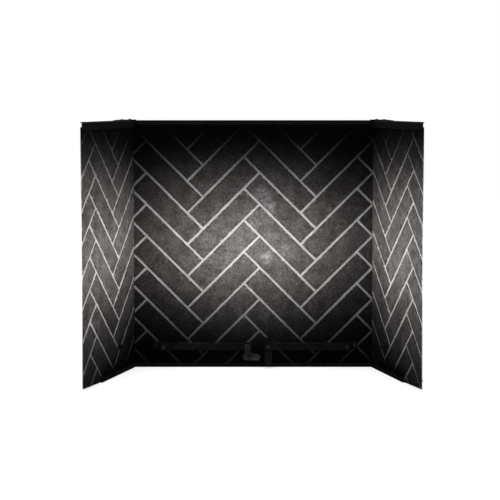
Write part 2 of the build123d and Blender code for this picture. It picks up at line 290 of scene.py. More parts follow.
print("a shell of 4 by 3 points has", sum(len(group) for group in shell_faces(4, 3)), "faces")


# %% [markdown]
# The bond: upright columns of slips, leaning left and right in turn, each slip
# at 45 degrees. An array of one slip would do for the middle of a panel, but
# not for its edges, where a bricklayer cuts slips on a saw and leaves a scrap
# too small to bed to mortar. So every slip is placed here, and cut on its own.

# %% Laying out the herringbone
def lay_columns(panel):
    """Centre and lean of each slip, column by column. The steps are pitches over the root of two."""
    length, width = panel["slip"]
    column_step = (length + joint_width) / math.sqrt(2)
    row_step = (width + joint_width) * math.sqrt(2)
    reach = (length + width) / math.sqrt(8)
    first_x = panel["start"][0] + (length - width) / math.sqrt(8)
    first_z = panel["start"][1] + (length + width + 2 * joint_width) / math.sqrt(8)
    inner_reach = reach - least_bite
    first_column = math.ceil((panel["low"] - inner_reach - first_x) / column_step)
    last_column = math.floor((panel["high"] + inner_reach - first_x) / column_step)
    columns = []
    for column in range(first_column, last_column + 1):
        leaning = column % 2
        x = first_x + column * column_step
        z = first_z + leaning * row_step / 2
        first_row = math.ceil((foot - reach - z) / row_step)
        last_row = math.floor((panel["top"] + reach - z) / row_step)
        turn = math.radians(-45 if leaning else 45)
        columns.append([(x, z + row * row_step, turn) for row in range(first_row, last_row + 1)])
    return columns


for panel in panels.values():
    panel["columns"] = lay_columns(panel)
print("columns:", {name: len(panel["columns"]) for name, panel in panels.items()})


# %% [markdown]
# A slip is a rectangle, less whatever the edges of its panel cut off. Blender's
# Boolean modifier could do the cutting, but it would leave a ragged grid. Every
# cut is straight, so the outline is cut as a polygon, one line at a time, and
# the grid is then fitted between the lines that are left.

# %% Cutting a slip
def cut_outline(outline, direction, limit):
    """A convex outline cut by one half plane: the corners inside, and the points where it crosses."""
    over = outline @ np.array(direction, float) - limit
    over_next = np.roll(over, -1)
    run = np.where(over == over_next, 1, over - over_next)
    crossing = outline + (over / run)[:, None] * (np.roll(outline, -1, axis=0) - outline)
    points = np.stack([outline, crossing], axis=1).reshape(-1, 2)
    kept = np.stack([over <= 0, (over <= 0) != (over_next <= 0)], axis=1).ravel()
    return points[kept]


def outline_area(outline):
    """Half the sum of the cross products of neighbouring corners."""
    x, z = outline.T
    return abs(np.dot(x, np.roll(z, -1)) - np.dot(z, np.roll(x, -1))) / 2


def slip_axes(turn):
    """The directions along and across a slip, in its flat panel."""
    return np.array([math.cos(turn), math.sin(turn)]), np.array([-math.sin(turn), math.cos(turn)])


def slip_edges(panel, x, z, turn):
    """The half planes that bound a slip, in its own axes: its four sides, then those of its panel."""
    length, width = panel["slip"]
    lengthwise, crosswise = slip_axes(turn)
    edges = [((1, 0), length / 2), ((-1, 0), length / 2), ((0, 1), width / 2), ((0, -1), width / 2)]
    for direction, limit in panel["edges"]:
        direction = np.array(direction, float)
        local = (direction @ lengthwise, direction @ crosswise)
        edges.append((local, limit - direction @ np.array([x, z])))
    return edges


def slip_outline(panel, edges):
    """The rectangle of a slip after its panel's cuts, or None where only a scrap is left."""
    outline = np.array([(-1, -1), (1, -1), (1, 1), (-1, 1)]) * (np.array(panel["slip"]) / 2)
    for direction, limit in edges[4:]:
        if len(outline):
            outline = cut_outline(outline, direction, limit)
    if len(outline) < 3 or outline_area(outline) * slip_depth < smallest_cut:
        return None
    return outline


whole_slip = slip_outline(panels["back"], slip_edges(panels["back"], 0.05, 0.35, math.radians(45)))
print("a whole slip covers", round(outline_area(whole_slip), 5), "square metres")

# %% [markdown]
# The grid of a slip has a point every few millimetres, and more of them near
# its edges, where the arris turns. A grid of even fineness would need many
# times the points to turn it as well. Where a cut leaves a sharp tip, the last
# millimetre is trimmed, as it would break off a real slip.

# %% The grid of a slip
face_step = 0.0026
arris_steps = np.array([0, 0.0003, 0.0008, 0.0015, 0.0024, 0.0036])
tip_trim = 0.0012


def spread(low, high, step):
    """Places from low to high, crowded at both ends and a step apart between them."""
    span = high - low
    ends = arris_steps[arris_steps < span * 0.4]
    middle = max(2, int(round((span - 2 * ends[-1]) / step)) + 1)
    inner = np.linspace(low + ends[-1], high - ends[-1], middle)
    return np.concatenate([low + ends[:-1], inner, high - ends[:-1][::-1]])


def span_across(edges, u):
    """The lowest and highest place across a slip at each place along it, from the lines that bound it."""
    highs = [(limit - d[0] * u) / d[1] for d, limit in edges if d[1] > 1e-9]
    lows = [(limit - d[0] * u) / d[1] for d, limit in edges if d[1] < -1e-9]
    return np.max(lows, axis=0), np.min(highs, axis=0)


def slip_grid(width, edges, outline):
    """Places along and across a slip. The rows share out the width that is left at each place along."""
    first, last = outline[:, 0].min(), outline[:, 0].max()
    tips = [np.ptp(span_across(edges, np.array([end]))) < tip_trim for end in (first, last)]
    u = spread(first + tip_trim * tips[0], last - tip_trim * tips[1], face_step)
    low, high = span_across(edges, u)
    share = (spread(-width / 2, width / 2, face_step) + width / 2) / width
    v = low[:, None] + (high - low)[:, None] * share
    return np.broadcast_to(u[:, None], v.shape), v


print("places along a whole slip:", len(spread(-back_slip[0] / 2, back_slip[0] / 2, face_step)))

# %% [markdown]
# A fired slip has a rounded, slightly chipped arris, a face that rises and
# falls by a few tenths of a millimetre, small pits, and it never sits quite
# flush with its neighbours. A box with a Bevel modifier would give every slip
# the same crisp edge. Here the depth of each grid point is worked out instead,
# so no two slips are alike.

# %% The relief of a slip
arris_radius, arris_wander, arris_wave = 0.0019, 0.45, 0.011
chip_reach, chip_size, chip_level = 0.0030, 0.0085, 0.62
face_waves = ((0.00038, 0.036, 11), (0.00016, 0.0095, 17), (0.00007, 0.0045, 23))
pit_depth, pit_size, pit_level = 0.0009, 0.0065, 0.66
face_setting, lippage = 0.0009, 0.00045
least_relief, most_relief = 0.0001, 0.85
pattern_shift, drag_shift = 0.37, 0.13
lean_spread, tone_spread, slip_noise = 31.7, 57.3, 0.9
rim_width = 0.0024


def slip_relief(place, to_edge, seed):
    """Depth by place: a quarter round along the edges, waves of noise over the face, and pits."""
    radius = arris_radius * (1 + arris_wander * lattice_noise(place, arris_wave, seed))
    radius = radius + chip_reach * peaks(lattice_noise(place, chip_size, seed + 5), chip_level)
    short = np.clip(radius - to_edge, 0, radius)
    relief = radius - np.sqrt(np.maximum(radius ** 2 - short ** 2, 0))
    for height, size, seed_step in face_waves:
        relief += height * lattice_noise(place, size, seed + seed_step)
    return relief + pit_depth * peaks(lattice_noise(place, pit_size, seed + 31), pit_level)


def slip_shell(panel, x, z, turn, seed):
    """A slip as a shell in its panel, with the values that its material reads, or None for a scrap."""
    edges = slip_edges(panel, x, z, turn)
    outline = slip_outline(panel, edges)
    if outline is None:
        return None
    length, width = panel["slip"]
    u, v = slip_grid(width, edges, outline)
    to_edge = np.min([limit - d[0] * u - d[1] * v for d, limit in edges], axis=0)
    relief = slip_relief(np.stack([u, v], axis=-1) + seed * pattern_shift, to_edge, seed)
    lean = lattice_noise(np.array([[x, z], [z, x], [x + z, x - z]]) * lean_spread, slip_noise, 7)
    relief += face_setting + lippage * (lean[0] + lean[1] * u / length + lean[2] * v / width)

    lengthwise, crosswise = slip_axes(turn)
    flat = np.array([x, z]) + u[..., None] * lengthwise + v[..., None] * crosswise
    along, up = flat[..., 0], flat[..., 1]
    deep = np.maximum(panel["deep"](along, slip_depth), nose / 2)
    relief = np.clip(relief, least_relief, deep * most_relief)
    front = panel["stand"](along, up, relief).reshape(-1, 3)
    rear = [panel["stand"](along[:, k], up[:, k], deep[:, k]) for k in (0, -1)]

    count, rear_count = u.size, 2 * len(u)
    tone = 0.5 + 0.5 * lattice_noise(np.array([[x, z]]) * tone_spread, slip_noise, 3)[0]
    drag = np.stack([u.ravel(), v.ravel(), np.full(count, seed * drag_shift)], axis=-1)
    values = {
        "slip_tone": np.full(count + rear_count, tone),
        "slip_rim": np.concatenate([np.exp(-to_edge.ravel() / rim_width), np.ones(rear_count)]),
        "slip_drag": np.concatenate([drag, np.zeros((rear_count, 3))]),
    }
    return np.concatenate([front, *rear]), shell_faces(*u.shape), values


trial = slip_shell(panels["back"], 0.05, 0.35, math.radians(45), 1)
print("a whole slip has", len(trial[0]), "points")

# %% [markdown]
# A column of slips is one piece, like the column in the frame that it stands
# for. The tone of each slip, the nearness to its edge and the way its clay was
# dragged could each need a material of their own. Kept on the mesh instead, they
# let one material colour them all.

# %% Columns of slips
brick_pieces = []
for side, panel in panels.items():
    counts = []
    for number, column in enumerate(panel["columns"], 1):
        made = [slip_shell(panel, x, z, turn, 100 * number + row + len(side))
                for row, (x, z, turn) in enumerate(column)]
        made = [shell for shell in made if shell]
        name = f"{side}_brick_column_{number}"
        piece = build_piece(name + "_fired", [shell[:2] for shell in made])
        for key in ("slip_tone", "slip_rim", "slip_drag"):
            keep_values(piece, key, np.concatenate([values[key] for _, _, values in made]))
        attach(piece, panel["body"])
        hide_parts(name)
        brick_pieces.append((side, piece))
        counts.append(len(made))
    print(side, "slips by column:", counts)

# %% [markdown]
# The mortar is one relief for each panel. Between the slips it is tooled a
# little hollow and left sandy, here and there it was bagged over the arrises
# and stands nearly flush, and under the slips it drops out of sight. A plain
# slab would do for the colour, but its joints would look machined.

# %% Mortar beds
mortar_step = 0.0026
tooled_hollow = 0.0008
bagged_rise, bagged_size, bagged_level = 0.0014, 0.042, 0.25
sand_waves = ((0.00035, 0.0065, 73), (0.00025, 0.019, 79))
bedded_depth, bedded_within, bedded_skin = 0.0070, 0.0045, 0.0024
least_depth, least_skin = 0.0002, 0.0004


def mortar_shell(panel):
    """The mortar of a panel as a shell. Its depth depends on the distance to the nearest slip."""
    along = np.linspace(panel["low"], panel["high"], int((panel["high"] - panel["low"]) / mortar_step))
    rise = np.linspace(0, 1, int((panel["top"] - foot) / mortar_step))
    low = panel["foot"](along)
    up = low[:, None] + (panel["top"] - low)[:, None] * rise
    along_grid = np.broadcast_to(along[:, None], up.shape)
    length, width = panel["slip"]
    nearest = np.full(up.shape, 1.0)
    for x, z, turn in (slip for column in panel["columns"] for slip in column):
        u = (along_grid - x) * math.cos(turn) + (up - z) * math.sin(turn)
        v = (up - z) * math.cos(turn) - (along_grid - x) * math.sin(turn)
        nearest = np.minimum(nearest, np.maximum(np.abs(u) - length / 2, np.abs(v) - width / 2))

    place = np.stack([along_grid, up], axis=-1)
    middle = np.clip(nearest / (joint_width / 2), 0, 1)
    bagged = np.clip(lattice_noise(place, bagged_size, 71) - bagged_level, 0, 1)
    depth = panel["recess"] + tooled_hollow * middle - bagged_rise * bagged
    for height, size, seed in sand_waves:
        depth += height * lattice_noise(place, size, seed)
    deep = np.maximum(panel["deep"](along, bed_depth), nose)
    bedded = np.minimum(bedded_depth, deep - bedded_skin)[:, None]
    depth += (bedded - depth) * np.clip(-nearest / bedded_within, 0, 1)
    depth = np.clip(depth, least_depth, (deep - least_skin)[:, None])
    front = panel["stand"](along_grid, up, depth).reshape(-1, 3)
    rear = [panel["stand"](along, up[:, k], deep) for k in (0, -1)]
    return np.concatenate([front, *rear]), shell_faces(*up.shape)


mortar_pieces = []
for side, panel in panels.items():
    piece = build_piece(f"{side}_mortar_bed", [mortar_shell(panel)])
    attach(piece, panel["body"])
    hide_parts(f"{side}_mortar")
    mortar_pieces.append((side, piece))
    print(piece.name, "has", len(piece.data.polygons), "faces")

# %% [markdown]
# Every face has an outside, which light and other programs rely on. The lists
# of faces above could each be wound the right way by hand, and the left panel,
# a mirror image, would need them the other way round. A closed shell knows its
# own outside, so one pass over each mesh turns all its faces outwards.

# %% Faces that point outwards
for side, piece in brick_pieces + mortar_pieces:
    work = bmesh.new()
    work.from_mesh(piece.data)
    bmesh.ops.recalc_face_normals(work, faces=work.faces)
    volume = work.calc_volume(signed=True)
    work.to_mesh(piece.data)
    work.free()
    assert volume > 0, piece.name
print("turned", len(brick_pieces) + len(mortar_pieces), "pieces")


# %% [markdown]
# Materials are graphs of nodes. They could be wired one link at a time, which
# soon hides what a finish is made of. A few helpers keep them readable: one
# adds a node and joins or sets its inputs, the others are the sums, mixes and
# noises that every finish needs.

# %% Helpers for shader graphs
def set_inputs(tree, node, inputs):
    """Joins each named input to a socket, or sets it to any other value."""
    for name, value in inputs.items():
        if isinstance(value, bpy.types.NodeSocket):
            tree.links.new(value, node.inputs[name])
        else:
            node.inputs[name].default_value = value


def add_node(tree, kind, inputs=None, **settings):
    """A node with its settings, then its inputs."""
    made = tree.nodes.new(kind)
    for name, value in settings.items():
        setattr(made, name, value)
    set_inputs(tree, made, inputs or {})
    return made


def calculate(tree, operation, *values):
    """A sum of one to three values, each a socket or a number."""
    return add_node(tree, "ShaderNodeMath", dict(enumerate(values)), operation=operation).outputs[0]


def product(tree, first, *others):
    """Several values multiplied together."""
    for other in others:
        first = calculate(tree, "MULTIPLY", first, other)
    return first


def vector_outputs(tree, operation, first, second):
    """What comes out of a sum of two vectors, each a socket or three numbers."""
    return add_node(tree, "ShaderNodeVectorMath", {0: first, 1: second}, operation=operation).outputs


def mix_colours(tree, mask, first, second, mode="MIX"):
    """Second over first, by the mask."""
    inputs = {0: mask, 6: first, 7: second}
    return add_node(tree, "ShaderNodeMix", inputs, data_type="RGBA", blend_type=mode).outputs[2]


def ramp(tree, value, low, high, low_value=0.0, high_value=1.0, smooth=True):
    """A value that climbs between two limits and stays level outside them."""
    inputs = {"Value": value, "From Min": low, "From Max": high, "To Min": low_value, "To Max": high_value}
    kind = "SMOOTHSTEP" if smooth else "LINEAR"
    return add_node(tree, "ShaderNodeMapRange", inputs, interpolation_type=kind).outputs[0]


def noise(tree, place, scale, detail=3.0, rough=0.55):
    """A noise texture's value at a place, about 0.5 on average."""
    inputs = {"Vector": place, "Scale": scale, "Detail": detail, "Roughness": rough}
    return add_node(tree, "ShaderNodeTexNoise", inputs).outputs[0]


def bumped(tree, height, strength, distance):
    """The normal of a surface whose height varies."""
    inputs = {"Height": height, "Strength": strength, "Distance": distance}
    return add_node(tree, "ShaderNodeBump", inputs).outputs[0]


def object_place(tree):
    """Where a point lies on the lining at rest."""
    return add_node(tree, "ShaderNodeTexCoord").outputs["Object"]


def kept_value(tree, name, output="Fac"):
    """A value that was kept on the mesh."""
    return add_node(tree, "ShaderNodeAttribute", attribute_name=name).outputs[output]


def colour(red, green, blue):
    """An opaque colour."""
    return (red, green, blue, 1.0)


def grey(level):
    """An opaque grey."""
    return colour(level, level, level)


print("a middle grey is", grey(0.5))


# %% [markdown]
# Each finish is one Principled shader. What several finishes share, such as
# painted light or grain, is a node group: built once, and placed in each
# material with its own values. Copies of the same nodes would drift apart as
# they are tuned.

# %% Beginning materials and groups
def begin_material(name):
    """A material with a Principled shader. Gives the material, its tree and the shader."""
    material = bpy.data.materials.new(name)
    material.use_nodes = True
    return material, material.node_tree, material.node_tree.nodes["Principled BSDF"]


def begin_group(name, inputs, outputs):
    """A node group. An input's value is a number, or None for a vector. All outputs are numbers."""
    group = bpy.data.node_groups.new(name, "ShaderNodeTree")
    for label, value in inputs.items():
        kind = "NodeSocketVector" if value is None else "NodeSocketFloat"
        socket = group.interface.new_socket(label, in_out="INPUT", socket_type=kind)
        if value is not None:
            socket.default_value = value
    for label in outputs:
        group.interface.new_socket(label, in_out="OUTPUT", socket_type="NodeSocketFloat")
    return group, group.nodes.new("NodeGroupInput").outputs, group.nodes.new("NodeGroupOutput")


def use_group(tree, group, inputs):
    """The outputs of a group placed in a material with its own values."""
    return add_node(tree, "ShaderNodeGroup", inputs, node_tree=group).outputs


print("materials so far:", len(bpy.data.materials))

# %% [markdown]
# Painted light makes this lining what it is. Its colour holds a painted pool of
# light in the middle of the bricks, and painted shade towards the top, along the
# foot and in the two inside corners. The fronts of the side panels keep more of
# their colour away from the middle height, and painted shade dims their front
# edge. A painted image could hold all this, but it would have to be drawn again
# whenever a panel changes. So it follows from place: a bell curve in height,
# another across the back, and a ramp out of each corner, broken up by noise. The
# mortar uses a wider bell than the slips, so its painted light reaches further.

# %% Painted light falloff by place
front_reach, corner_reach, front_start = 0.336, 0.11, 0.20
light_offset = 0.012
top_shade_start, top_shade_full, top_shade_left = 0.53, 0.705, 0.12
ledge_low, ledge_high, ledge_shadow = 0.020, 0.052, 0.85

# The output is the share of colour that the painted light keeps: a painted pool of light in the middle,
# painted shade around it.
painted_falloff_group, given, falloff_out = begin_group(
    "painted_light_falloff",
    {"Middle": 0.36, "Height Spread": 0.14, "Front Spread": 0.05, "Width Spread": 0.25, "Shape": 2.0,
     "Corner": 1.0, "Front": 1.0, "Level": 1.0, "Patches": 0.4, "Least": 0.0015},
    ["Painted Light"],
)
place = object_place(painted_falloff_group)
axes = add_node(painted_falloff_group, "ShaderNodeSeparateXYZ", {0: place}).outputs
forward = calculate(painted_falloff_group, "MULTIPLY", axes[1], -1.0)
wander = calculate(painted_falloff_group, "SUBTRACT", noise(painted_falloff_group, place, 5.0, 4.0), 0.5)

height_spread = ramp(painted_falloff_group, forward, 0.0, front_reach, smooth=False)
height_spread = calculate(painted_falloff_group, "MULTIPLY_ADD", height_spread, given["Front Spread"],
                          given["Height Spread"])
height = calculate(painted_falloff_group, "SUBTRACT", axes[2], given["Middle"])
height = calculate(painted_falloff_group, "MULTIPLY_ADD", wander, 0.06, height)
height = calculate(painted_falloff_group, "ABSOLUTE", calculate(painted_falloff_group, "DIVIDE", height, height_spread))
height = calculate(painted_falloff_group, "POWER", height, given["Shape"])
across = calculate(painted_falloff_group, "ADD", axes[0], light_offset)
across = calculate(painted_falloff_group, "DIVIDE", across, given["Width Spread"])
bell = calculate(painted_falloff_group, "MULTIPLY_ADD", across, across, height)
bell = calculate(painted_falloff_group, "EXPONENT", calculate(painted_falloff_group, "MULTIPLY", bell, -1.0))

# Painted shade: darker above the middle line, out of each inside corner, at the fronts of the side panels,
# and a painted shadow along the side panels' foot behind the toe.
top_shade = ramp(painted_falloff_group, axes[2], top_shade_start, top_shade_full, 1.0, top_shade_left)
corner_shade = ramp(painted_falloff_group, forward, 0.0, corner_reach, given["Corner"], 1.0)
front_shade = ramp(painted_falloff_group, forward, front_start, front_reach, 1.0, given["Front"])
behind_toe = product(painted_falloff_group, ramp(painted_falloff_group, forward, 0.005, 0.05),
                     ramp(painted_falloff_group, forward, 0.205, 0.245, 1.0, 0.0))
near_foot = calculate(painted_falloff_group, "MULTIPLY_ADD", wander, 0.02, axes[2])
near_foot = ramp(painted_falloff_group, near_foot, ledge_low, ledge_high, ledge_shadow, 0.0)
foot_shadow = calculate(painted_falloff_group, "SUBTRACT", 1.0, product(painted_falloff_group, behind_toe, near_foot))

# Noise breaks up the painted light, and the bell gives the painted pool of light in the middle.
patch = calculate(painted_falloff_group, "SUBTRACT", noise(painted_falloff_group, place, 16.0, 5.0, 0.6), 0.5)
painted_light = calculate(painted_falloff_group, "MULTIPLY_ADD", patch, given["Patches"], 1.0)
painted_light = product(painted_falloff_group, painted_light, bell, top_shade, corner_shade, front_shade, foot_shadow, given["Level"])
painted_light = calculate(painted_falloff_group, "MAXIMUM", painted_light, given["Least"])
set_inputs(painted_falloff_group, falloff_out, {"Painted Light": painted_light})
print("soot group has", len(painted_falloff_group.nodes), "nodes")

# %% [markdown]
# Sand, fired clay and the specks in paint share one look at several scales: a
# fine grain that darkens and lightens from speck to speck, and a relief to go
# with it. One group serves slips, mortar, boards and steel, with a grain size
# for each.

# %% Mineral grain
grain_group, given, grain_out = begin_group(
    "mineral_grain", {"Place": None, "Grain": 600.0, "Contrast": 0.3}, ["Tone", "Height"])
fine = noise(grain_group, given["Place"], given["Grain"], 2.0, 0.6)
coarse_scale = calculate(grain_group, "MULTIPLY", given["Grain"], 0.22)
coarse = noise(grain_group, given["Place"], coarse_scale, 4.0, 0.65)
grain = calculate(grain_group, "MULTIPLY_ADD", fine, 0.5, calculate(grain_group, "MULTIPLY", coarse, 0.5))
off_middle = calculate(grain_group, "SUBTRACT", grain, 0.5)
tone = calculate(grain_group, "MULTIPLY_ADD", off_middle, given["Contrast"], 1.0)
set_inputs(grain_group, grain_out, {"Tone": tone, "Height": grain})
print("grain group has", len(grain_group.nodes), "nodes")

# %% [markdown]
# Lime that water carried through the joints dries as pale blooms on the slips,
# most of them on the back panel near the middle, and one on each side. They
# could be modelled as thin films, but lime has soaked in and has no edge. So
# each is a soft round patch of colour, eaten away by noise, given by its middle,
# its radius and its strength. The trowel also left a few thin lines of mortar
# beside the joints. A point's distance to such a line is its distance to the
# nearest place on it: a + t (b - a), with t held between 0 and 1.

# %% Lime blooms and stray mortar
bloom_spots = (
    ((0.024, 0.0, 0.488), 0.036, 0.75), ((0.046, 0.0, 0.456), 0.027, 0.85),
    ((0.038, 0.0, 0.313), 0.025, 1.0), ((0.011, 0.0, 0.423), 0.032, 0.40),
    ((0.099, 0.0, 0.329), 0.034, 0.40), ((-0.012, 0.0, 0.402), 0.012, 0.60),
    ((0.030, 0.0, 0.145), 0.022, 0.50), ((-0.042, 0.0, 0.160), 0.018, 0.50),
    ((-0.130, 0.0, 0.360), 0.030, 0.25),
    ((-0.411, -0.243, 0.160), 0.017, 0.60), ((0.415, -0.262, 0.235), 0.016, 0.50),
)
stray_lines = (
    ((-0.1517, 0.0, 0.2821), (-0.1753, 0.0, 0.2572)),
    ((-0.0090, 0.0, 0.4028), (0.0040, 0.0, 0.3950)),
    ((-0.1400, 0.0, 0.4180), (-0.1340, 0.0, 0.4110)),
    ((0.1180, 0.0, 0.2300), (0.1330, 0.0, 0.2440)),
)
solid_share = 0.40
stray_core, stray_rim = 0.0004, 0.0015


def strongest(tree, masks):
    """The largest of several masks."""
    most = masks[0]
    for mask in masks[1:]:
        most = calculate(tree, "MAXIMUM", most, mask)
    return most


bloom_group, given, bloom_out = begin_group("lime_bloom", {"Strength": 0.5}, ["Bloom", "Stray"])
place = object_place(bloom_group)
spots = []
for middle, radius, share in bloom_spots:
    away = vector_outputs(bloom_group, "DISTANCE", place, middle)["Value"]
    spots.append(ramp(bloom_group, away, radius * solid_share, radius, share, 0.0))
eaten = ramp(bloom_group, noise(bloom_group, place, 90.0, 5.0, 0.72), 0.38, 0.62)
blooms = product(bloom_group, strongest(bloom_group, spots), eaten, given["Strength"])

lines = []
for start, end in stray_lines:
    run = np.subtract(end, start)
    offset = vector_outputs(bloom_group, "SUBTRACT", place, start)[0]
    share = vector_outputs(bloom_group, "DOT_PRODUCT", offset, tuple(run / (run @ run)))["Value"]
    share = ramp(bloom_group, share, 0.0, 1.0, smooth=False)
    nearest_inputs = {0: tuple(run), "Scale": share}
    nearest = add_node(bloom_group, "ShaderNodeVectorMath", nearest_inputs, operation="SCALE").outputs[0]
    away = vector_outputs(bloom_group, "DISTANCE", offset, nearest)["Value"]
    lines.append(ramp(bloom_group, away, stray_core, stray_rim, 1.0, 0.0))
broken = ramp(bloom_group, noise(bloom_group, place, 240.0, 3.0, 0.6), 0.40, 0.56)
stray = product(bloom_group, strongest(bloom_group, lines), broken)
set_inputs(bloom_group, bloom_out, {"Bloom": blooms, "Stray": stray})
print("blooms:", len(bloom_spots), "and stray lines:", len(stray_lines))

# %% [markdown]
# The slips are charcoal clay. One flat dark colour would look like plastic, so
# their colour is built up in layers: the clay, a tone for each slip, mottling
# from the kiln, drag marks from the wire, grain, painted shade along the arrises,
# a little mortar left on them, lime, and painted light and shade over all of it.

# %% Slip material
clay_dark, clay_warm = colour(0.138, 0.125, 0.121), colour(0.246, 0.226, 0.220)
mortar_pale = colour(0.80, 0.785, 0.77)
mineral_specular = 0.025


def slip_material(name, falloff_values):
    """Charcoal fired clay, shaded at its arrises, under painted light and shade."""
    material, tree, shader = begin_material(name)
    place = object_place(tree)
    tone, rim = kept_value(tree, "slip_tone"), kept_value(tree, "slip_rim")
    drag = {"Vector": kept_value(tree, "slip_drag", "Vector"), "Scale": (0.12, 1.0, 1.0)}
    stretched = add_node(tree, "ShaderNodeMapping", drag).outputs[0]

    mottle = noise(tree, place, 34.0, 6.0, 0.62)
    clay = mix_colours(tree, ramp(tree, mottle, 0.32, 0.68), clay_dark, clay_warm)
    slip_tone = ramp(tree, tone, 0.0, 1.0, 0.84, 1.16, smooth=False)
    marks = ramp(tree, noise(tree, stretched, 420.0, 3.0, 0.6), 0.25, 0.75, 0.86, 1.14, smooth=False)
    fired = ramp(tree, noise(tree, place, 190.0, 5.0, 0.75), 0.36, 0.64, 0.56, 1.44, smooth=False)
    grain = use_group(tree, grain_group, {"Place": place, "Grain": 520.0, "Contrast": 1.8})
    # Painted shade: the clay darkens towards each slip's arris, where a joint would shade it.
    painted_arris_shade = ramp(tree, rim, 0.12, 0.80, 1.0, 0.36)
    tones = product(tree, grain["Tone"], slip_tone, marks, fired, painted_arris_shade)
    clay = mix_colours(tree, 1.0, clay, tones, "MULTIPLY")

    smear = ramp(tree, noise(tree, place, 95.0, 5.0, 0.72), 0.50, 0.62)
    smear = product(tree, smear, ramp(tree, rim, 0.12, 0.70, 0.0, 0.70))
    lime = use_group(tree, bloom_group, {"Strength": 0.62})
    clay = mix_colours(tree, calculate(tree, "MAXIMUM", smear, lime["Stray"]), clay, mortar_pale)
    clay = mix_colours(tree, lime["Bloom"], clay, grey(0.72))
    # Painted light and shade from place multiplies the colour.
    painted_light = use_group(tree, painted_falloff_group, falloff_values)["Painted Light"]
    clay = mix_colours(tree, 1.0, clay, painted_light, "MULTIPLY")

    pits = ramp(tree, noise(tree, place, 260.0, 2.0, 0.5), 0.28, 0.42)
    height = calculate(tree, "MULTIPLY_ADD", grain["Height"], 0.6, calculate(tree, "MULTIPLY", pits, 0.5))
    height = calculate(tree, "MULTIPLY_ADD", marks, 0.35, height)
    set_inputs(tree, shader, {"Base Color": clay, "Normal": bumped(tree, height, 0.55, 0.0009),
                              "Roughness": 0.95, "Specular IOR Level": mineral_specular})
    return material


# How the painted light falls off on the back panel and on the side panels.
back_falloff = {"Middle": 0.353, "Height Spread": 0.143, "Front Spread": 0.0, "Width Spread": 0.26}
side_falloff = {"Middle": 0.362, "Height Spread": 0.140, "Front Spread": 0.062, "Width Spread": 9.0,
             "Corner": 0.72, "Front": 0.78, "Level": 1.25}
slip_materials = {
    "back": slip_material("charcoal_slip_back", back_falloff),
    "side": slip_material("charcoal_slip_side", side_falloff),
}
for side, piece in brick_pieces:
    piece.data.materials.append(slip_materials["back" if side == "back" else "side"])
print("slip materials:", ", ".join(slip_materials))

# %% [markdown]
# The mortar is pale and sandy, whitest in the painted pool of light. It could
# share the slips' painted light as it is, but the joints stay paler than the
# bricks beside them. So it takes the same group with a wider bell, and patches
# of it were pointed from a darker batch.

# %% Mortar material
def mortar_material(name, falloff_values):
    """Pale sanded mortar under painted light and shade."""
    material, tree, shader = begin_material(name)
    place = object_place(tree)
    grain = use_group(tree, grain_group, {"Place": place, "Grain": 1100.0, "Contrast": 0.7})
    batch = ramp(tree, noise(tree, place, 38.0, 5.0, 0.65), 0.3, 0.7, 0.74, 1.14, smooth=False)
    sand = mix_colours(tree, 1.0, mortar_pale, product(tree, batch, grain["Tone"]), "MULTIPLY")
    # Painted light and shade from place multiplies the colour.
    painted_light = use_group(tree, painted_falloff_group, falloff_values)["Painted Light"]
    sand = mix_colours(tree, 1.0, sand, painted_light, "MULTIPLY")
    set_inputs(tree, shader, {"Base Color": sand, "Normal": bumped(tree, grain["Height"], 0.7, 0.0008),
                              "Roughness": 0.97, "Specular IOR Level": mineral_specular})
    return material


# The mortar's painted light falls off in a wider bell.
wider_falloff = {"Middle": 0.345, "Height Spread": 0.1685, "Shape": 2.25}
mortar_falloff_back = {**back_falloff, **wider_falloff, "Width Spread": 0.38, "Level": 1.0}
mortar_falloff_side = {**side_falloff, **wider_falloff, "Level": 1.36}
mortar_materials = {
    "back": mortar_material("sanded_mortar_back", mortar_falloff_back),
    "side": mortar_material("sanded_mortar_side", mortar_falloff_side),
}
for side, piece in mortar_pieces:
    piece.data.materials.append(mortar_materials["back" if side == "back" else "side"])
print("mortar materials:", ", ".join(mortar_materials))

# %% [markdown]
# Sheet steel shows its age at its edges: paint rubs off where metal turns a
# corner. The Pointiness of a mesh can find edges too, but not on flat sheet with
# few points. So the mask compares the true normal with one that a Bevel node
# rounds off. They differ only near an edge, and noise makes the rubbing patchy.

# %% Edge wear
wear_group, given, wear_out = begin_group("edge_wear", {"Width": 0.0012, "Patchiness": 60.0}, ["Wear"])
rounded = add_node(wear_group, "ShaderNodeBevel", {"Radius": given["Width"]}, samples=6).outputs[0]
true_normal = add_node(wear_group, "ShaderNodeNewGeometry").outputs["Normal"]
same = vector_outputs(wear_group, "DOT_PRODUCT", rounded, true_normal)["Value"]
at_edge = ramp(wear_group, same, 0.80, 0.985, 1.0, 0.0)
patchy = noise(wear_group, object_place(wear_group), given["Patchiness"], 5.0, 0.7)
worn = product(wear_group, at_edge, ramp(wear_group, patchy, 0.42, 0.62))
set_inputs(wear_group, wear_out, {"Wear": worn})
print("edge wear has", len(wear_group.nodes), "nodes")

# %% [markdown]
# Ash settles on what faces up. Loose particles would be too many to export, and
# from a step away ash is only a paler colour. So it is a mask: the upward part
# of the normal, broken up by noise.

# %% Ash dust
ash_group, given, ash_out = begin_group("ash_dust", {"Amount": 0.4}, ["Ash"])
facing = add_node(ash_group, "ShaderNodeNewGeometry").outputs["Normal"]
upward = add_node(ash_group, "ShaderNodeSeparateXYZ", {0: facing}).outputs[2]
upward = ramp(ash_group, upward, 0.55, 0.95)
drift = ramp(ash_group, noise(ash_group, object_place(ash_group), 45.0, 5.0, 0.65), 0.38, 0.70)
set_inputs(ash_group, ash_out, {"Ash": product(ash_group, upward, drift, given["Amount"])})
print("ash group has", len(ash_group.nodes), "nodes")

